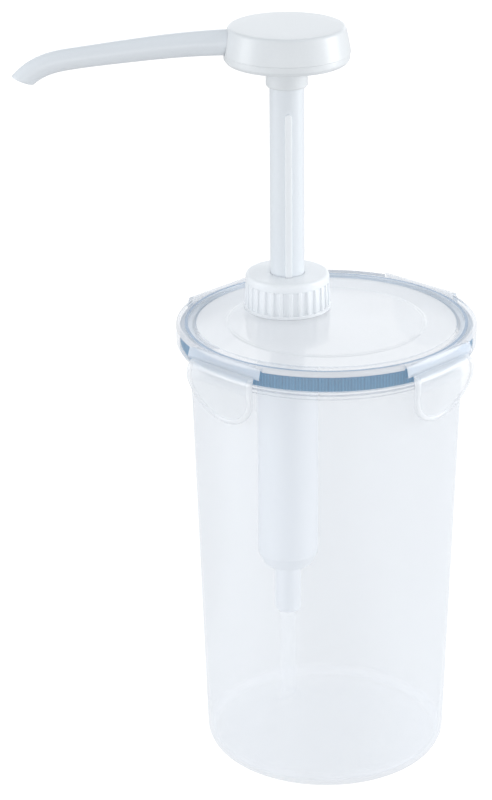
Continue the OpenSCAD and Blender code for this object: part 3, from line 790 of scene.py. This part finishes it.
# ------------------------------------------------------------------ stem
def stem_part():
    ro, ri, rr = 8.5, 6.3, 9.55
    key = 1.5 * math.pi
    xs = [0, 0.5, 0.95, 1.25, 1.42, 1.55, 1.64, 1.7, 1.76, 1.9, 2.3]
    lift = [1, 1, 1, 0.985, 0.94, 0.84, 0.66, 0.4, 0.08, 0.0, 0.0]
    cols = []
    for x, v in zip(xs, lift):
        for s in ((-1, 1) if x else (1,)):
            cols.append((key + s * math.asin(x / 9.0), x, v))
    k = 60
    a1 = math.asin(2.3 / 9.0)
    for i in range(1, k):
        cols.append((key + a1 + (TAU - 2 * a1) * i / k, 9.0, 0.0))
    cols.sort(key=lambda q: q[0])
    rows = []
    zt, zb = stem_hi[2], stem_lo[2]
    for a, x, v in cols:
        bend = math.sqrt(max(0.0, 1.7 ** 2 - min(x, 1.7) ** 2))
        top = 330.6 + bend
        p = [(ri + 0.1, zb), (ro - 0.3, zb), (ro, zb + 0.3), (ro, 232), (ro, 235.9)]
        p += [(ro + (rr - ro) * v * 0.7, 236.0), (ro + (rr - ro) * v, 236.3), (ro + (rr - ro) * v, 243.3)]
        p += [(11.3, 243.4), (11.6, 243.7), (11.6, 246.3), (11.3, 246.6), (ro + (rr - ro) * v + 0.1, 246.65),
              (ro + (rr - ro) * v, 246.8), (ro + (rr - ro) * v, 249)]
        for z in (260, 275, 290, 305, 318, 326):
            p.append((ro + (rr - ro) * v, z))
        for dz, f in ((-0.75, 1.0), (-0.5, 0.975), (-0.3, 0.92), (-0.16, 0.8), (-0.06, 0.6), (0.0, 0.35), (0.05, 0.06), (0.16, 0.0)):
            p.append((ro + (rr - ro) * v * f, top + dz))
        p += [(ro, 334.5), (ro, 340), (ro, zt - 0.2), (ro - 0.2, zt), (ri + 0.2, zt), (ri, zt - 0.2), (ri, 300), (ri, 260), (ri, zb + 0.2)]
        rows.append([(r * math.cos(a), r * math.sin(a), z) for r, z in p])
    return grid(rows)


def bar_part():
    sect = rounded([(-0.8, 221, 0.2), (0.8, 221, 0.2), (0.8, 223, 0.2), (-0.8, 223, 0.2)], 3)
    rows = [[(x, y, z) for y, z in sect] for x in (-6.6, -3, 0, 3, 6.6)]
    verts, faces = grid(rows, close_rows=False)
    m = len(sect)
    return verts, faces + [tuple(range(m)), tuple(range(4 * m, 5 * m))]


def at_head(part):
    return turn(shift(part, (PX, PY, 0)), HEAD_TURN, (PX, PY))


stem = build("stem_tube", [at_head(stem_part()), at_head(bar_part())], "plunger", ["stem"], sharp=36)
paint(stem, M_WHITE)
stem.data.materials.append(M_COLLAR)
for poly in stem.data.polygons:
    c = poly.center
    if 0.249 < c.z < 0.3325 and math.hypot(c.x - PX / 1000, c.y - PY / 1000) > 0.0093:
        poly.material_index = 1


# ------------------------------------------------------------------ head
def cap_part():
    pts = [(0, CAP_Z), (18, CAP_Z - 0.03), (25.5, CAP_Z - 0.1)]
    pts += arc(28.8 - 1.75, CAP_Z - 1.9, 1.75, 88, 9, 10)
    pts += rounded([(29.6, CAP_Z - 5.0), (31.0, SEAM_Z + 0.3, 0.22), (30.8, SEAM_Z, 0.1), (28.8, SEAM_Z, 0.2), (28.6, 364, 0.3),
                    (26.9, CAP_Z - 2.8, 1.2), (26.0, CAP_Z - 2.3)], 3)
    pts += [(0, CAP_Z - 2.3)]
    return lathe(pts, 224)


def base_part():
    base_foot = 356.4
    pts = rounded([(8.55, 344.3, 0.25), (9.6, 344.3, 0.3), (10.3, 345.1, 0.35), (10.3, base_foot, 1.4), (29.1, base_foot, 1.6), (30.62, base_foot + 1.9, 1.0),
                   (30.62, SEAM_Z - 0.06, 0.08), (28.4, SEAM_Z - 0.06, 0.2), (28.3, 364.2, 0.3), (27.2, 364.2, 0.3), (27.0, 359.8, 0.3),
                   (8.55, 359.8, 0.2)], 5)
    return lathe(pts, 224)


def along_x(r, x0, x1, z, n=64):
    rows = [[(x, r * math.sin(TAU * j / n), z + r * math.cos(TAU * j / n)) for j in range(n)] for x in (x0, x1)]
    verts, faces = grid(rows, close_rows=False)
    return verts, faces + [tuple(range(n)), tuple(range(n, 2 * n))]


def slot_cutter(r, x0, x1, z, drop, n=32):
    """Rounded-top channel along X, open below."""
    sect = [(r * math.cos(math.pi * j / n), z + r * math.sin(math.pi * j / n)) for j in range(n + 1)]
    sect += [(-r, z - drop), (r, z - drop)]
    rows = [[(x, y, zz) for y, zz in sect] for x in (x0, x1)]
    verts, faces = grid(rows, close_rows=False)
    m = len(sect)
    return verts, faces + [tuple(range(m)), tuple(range(m, 2 * m))]


cap = build("head_top", [at_head(cap_part())], None, sharp=34)
cut(cap, [at_head(slot_cutter(6.5, -60, -12, 366.6, 12.0))])
smooth_by_angle(cap, 34)
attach(cap, "plunger")
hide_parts("head_cap")
paint(cap, M_HEAD)

base = build("head_ring", [at_head(base_part())], None, sharp=34)
cut(base, [at_head(along_x(6.5, -60, -12, 366.6))])
smooth_by_angle(base, 34)
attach(base, "plunger")
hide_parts("head_base")
paint(base, M_HEAD)


# ------------------------------------------------------------------ spout
SPOUT = [(0, 366.6, 0), (8, 366.6, 0), (30, 366.6, .4), (42, 366.3, 2.4), (52, 365.75, 4), (62, 364.95, 5.2),
         (72, 363.98, 5.8), (82, 362.92, 6.2), (92, 361.8, 6.5), (102, 360.6, 7), (108, 359.75, 9),
         (112, 358.95, 13.5), (116, 357.75, 20), (119.5, 356.25, 27), (122.6, 354.45, 34),
         (125.2, 352.5, 40), (127.4, 350.5, 45), (131.4, 346.3, 47)]
spout_z = curve_fn([(p[0], p[1]) for p in SPOUT])
spout_slope = curve_fn([(p[0], p[2]) for p in SPOUT])


def spout_r(s):
    if s < 30:
        return 6.3
    t = min(1, (s - 30) / 66)
    return 6.3 - 1.1 * t


def spout_point(s, b, dr):
    sl = math.radians(spout_slope(s))
    r = spout_r(s) - dr
    return (-s - r * math.cos(b) * math.sin(sl), r * math.sin(b), spout_z(s) + r * math.cos(b) * math.cos(sl))


def spout_part():
    nb = 48
    tilt = math.radians(22)
    # plane through (-127.5, 0, 350.4); its lower side is cut away
    nx, nz = math.sin(tilt), math.cos(tilt)

    def side(p):
        return (p[0] + 127.5) * nx + (p[2] - 350.4) * nz

    fixed = [8 + (114 - 8) * i / 52 for i in range(53)]
    rows = []
    for j in range(nb):
        b = TAU * j / nb
        ends = {}
        for dr in (0.0, 1.5):
            lo, hi = 114.0, 131.4
            for _ in range(40):
                mid = (lo + hi) / 2
                if side(spout_point(mid, b, dr)) > 0:
                    lo = mid
                else:
                    hi = mid
            ends[dr] = (lo + hi) / 2
        row = [spout_point(s, b, 0.0) for s in fixed]
        eo, ei = ends[0.0] - 0.22, ends[1.5] - 0.22
        row += [spout_point(114 + (eo - 114) * k / 16, b, 0.0) for k in range(1, 17)]
        # rounded lip
        po, pi = np.array(spout_point(ends[0.0], b, 0.12)), np.array(spout_point(ends[1.5], b, 1.38))
        row += [tuple(po), tuple(po + (pi - po) * 0.2), tuple(po + (pi - po) * 0.8), tuple(pi)]
        row += [spout_point(114 + (ei - 114) * k / 12, b, 1.5) for k in range(12, 0, -1)]
        row += [spout_point(s, b, 1.5) for s in reversed(fixed)]
        rows.append(row)
    return grid(rows)


def hub_part():
    pts = rounded([(8.55, 360.0, 0.2), (11.2, 360.0, 0.4), (11.2, 371.8, 0.6), (0.0, 371.8), (0.0, 369.3), (8.55, 369.3, 0.2)], 3)
    return lathe(pts, 96)


spout = build("spout_tube", [at_head(spout_part()), at_head(hub_part())], "plunger", ["spout"], sharp=38)
paint(spout, M_WHITE)


# ------------------------------------------------------------------ hidden CAD pieces keep their shapes
for node, mat in (("pump_washer", M_SEAL), ("spring_seat", M_WHITE), ("inlet_ball", M_BALL), ("piston", M_WHITE),
                  ("piston_seal", M_SEAL), ("outlet_ball", M_BALL)):
    paint(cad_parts[node], mat)


# ------------------------------------------------------------------ floor
def stage_floor():
    me = bpy.data.meshes.new("studio_floor")
    s = 6.0
    me.from_pydata([(-s, -s, 0), (s, -s, 0), (s, s, 0), (-s, s, 0)], [], [(0, 1, 2, 3)])
    ob = bpy.data.objects.new("studio_floor", me)
    bpy.context.scene.collection.objects.link(ob)
    ob.location.z = -0.0002
    mat, nt, out = node_material("floor_white")
    add = nt.nodes.new("ShaderNodeAddShader")
    dif = nt.nodes.new("ShaderNodeBsdfDiffuse")
    em = nt.nodes.new("ShaderNodeEmission")
    path = nt.nodes.new("ShaderNodeLightPath")
    amount = nt.nodes.new("ShaderNodeMath")
    amount.operation = "MULTIPLY_ADD"
    amount.inputs[1].default_value = 0.48
    amount.inputs[2].default_value = 0.43
    dif.inputs["Color"].default_value = (0.22, 0.22, 0.22, 1)
    em.inputs["Color"].default_value = (1, 1, 1, 1)
    nt.links.new(path.outputs["Is Camera Ray"], amount.inputs[0])
    nt.links.new(amount.outputs[0], em.inputs["Strength"])
    nt.links.new(dif.outputs[0], add.inputs[0])
    nt.links.new(em.outputs[0], add.inputs[1])
    nt.links.new(add.outputs[0], out.inputs["Surface"])
    me.materials.append(mat)


stage_floor()


# ------------------------------------------------------------------ light
def area(name, loc, aim, size, power, colour=(1, 1, 1), size_y=None):
    data = bpy.data.lights.new(name, "AREA")
    data.shape = "RECTANGLE"
    data.size = size
    data.size_y = size_y or size
    data.energy = power
    data.color = colour
    ob = bpy.data.objects.new(name, data)
    ob.location = loc
    ob.rotation_mode = "QUATERNION"
    ob.rotation_quaternion = (Vector(aim) - Vector(loc)).to_track_quat("-Z", "Y")
    bpy.context.scene.collection.objects.link(ob)
    return ob


area("key_right", (1.6, 0.0, 0.5), (0, 0, 0.25), 0.8, 15.0, (1.0, 1.0, 1.0), 1.1)
area("fill_left", (-1.7, -0.2, 0.5), (0, 0, 0.25), 0.8, 9.3, (0.98, 0.99, 1.0), 1.1)
area("top_soft", (0.0, 0.3, 1.9), (0, 0, 0.2), 1.6, 1.3, (1.0, 1.0, 1.0))
area("back_soft", (0.1, 1.9, 0.7), (0, 0, 0.25), 1.8, 5.5, (1.0, 1.0, 1.0), 1.0)
area("front_soft", (-0.1, -2.1, 0.35), (0, 0, 0.22), 2.2, 10.5, (1.0, 1.0, 1.0), 0.9)

world = bpy.data.worlds.new("studio")
bpy.context.scene.world = world
world.use_nodes = True
wn = world.node_tree
wn.nodes.clear()
w_out = wn.nodes.new("ShaderNodeOutputWorld")
w_bg = wn.nodes.new("ShaderNodeBackground")
w_bg.inputs["Color"].default_value = (0.93, 0.965, 1.0, 1)
w_bg.inputs["Strength"].default_value = 0.70
w_seen = wn.nodes.new("ShaderNodeBackground")
w_seen.inputs["Color"].default_value = (1.0, 1.0, 1.0, 1)
w_seen.inputs["Strength"].default_value = 1.0
w_path = wn.nodes.new("ShaderNodeLightPath")
w_mix = wn.nodes.new("ShaderNodeMixShader")
wn.links.new(w_path.outputs["Is Camera Ray"], w_mix.inputs["Fac"])
wn.links.new(w_bg.outputs[0], w_mix.inputs[1])
wn.links.new(w_seen.outputs[0], w_mix.inputs[2])
wn.links.new(w_mix.outputs[0], w_out.inputs["Surface"])

scene = bpy.context.scene
scene.cycles.transparent_max_bounces = 40
scene.view_settings.view_transform = "Standard"
scene.view_settings.look = "None"
scene.view_settings.exposure = 0.0
scene.view_settings.gamma = 1.0

# ------------------------------------------------------------------ camera
cam_data = bpy.data.cameras.new("camera")
cam = bpy.data.objects.new("camera", cam_data)
scene.collection.objects.link(cam)
cam_data.sensor_fit = "AUTO"
cam_data.sensor_width = 36.0
cam_data.lens = 120.422
cam_data.clip_start = 0.05
cam_data.clip_end = 50.0
right = Vector((0.9996886, -0.0234965, -0.0083984))
up = Vector((0.0166200, 0.3759661, 0.9264843))
fwd = Vector((0.0186116, 0.9263355, -0.3762396))
m = Matrix((
    (right.x, up.x, -fwd.x, -0.0647551),
    (right.y, up.y, -fwd.y, -1.2356004),
    (right.z, up.z, -fwd.z, 0.6911697),
    (0, 0, 0, 1)))
cam.matrix_world = m
scene.camera = cam
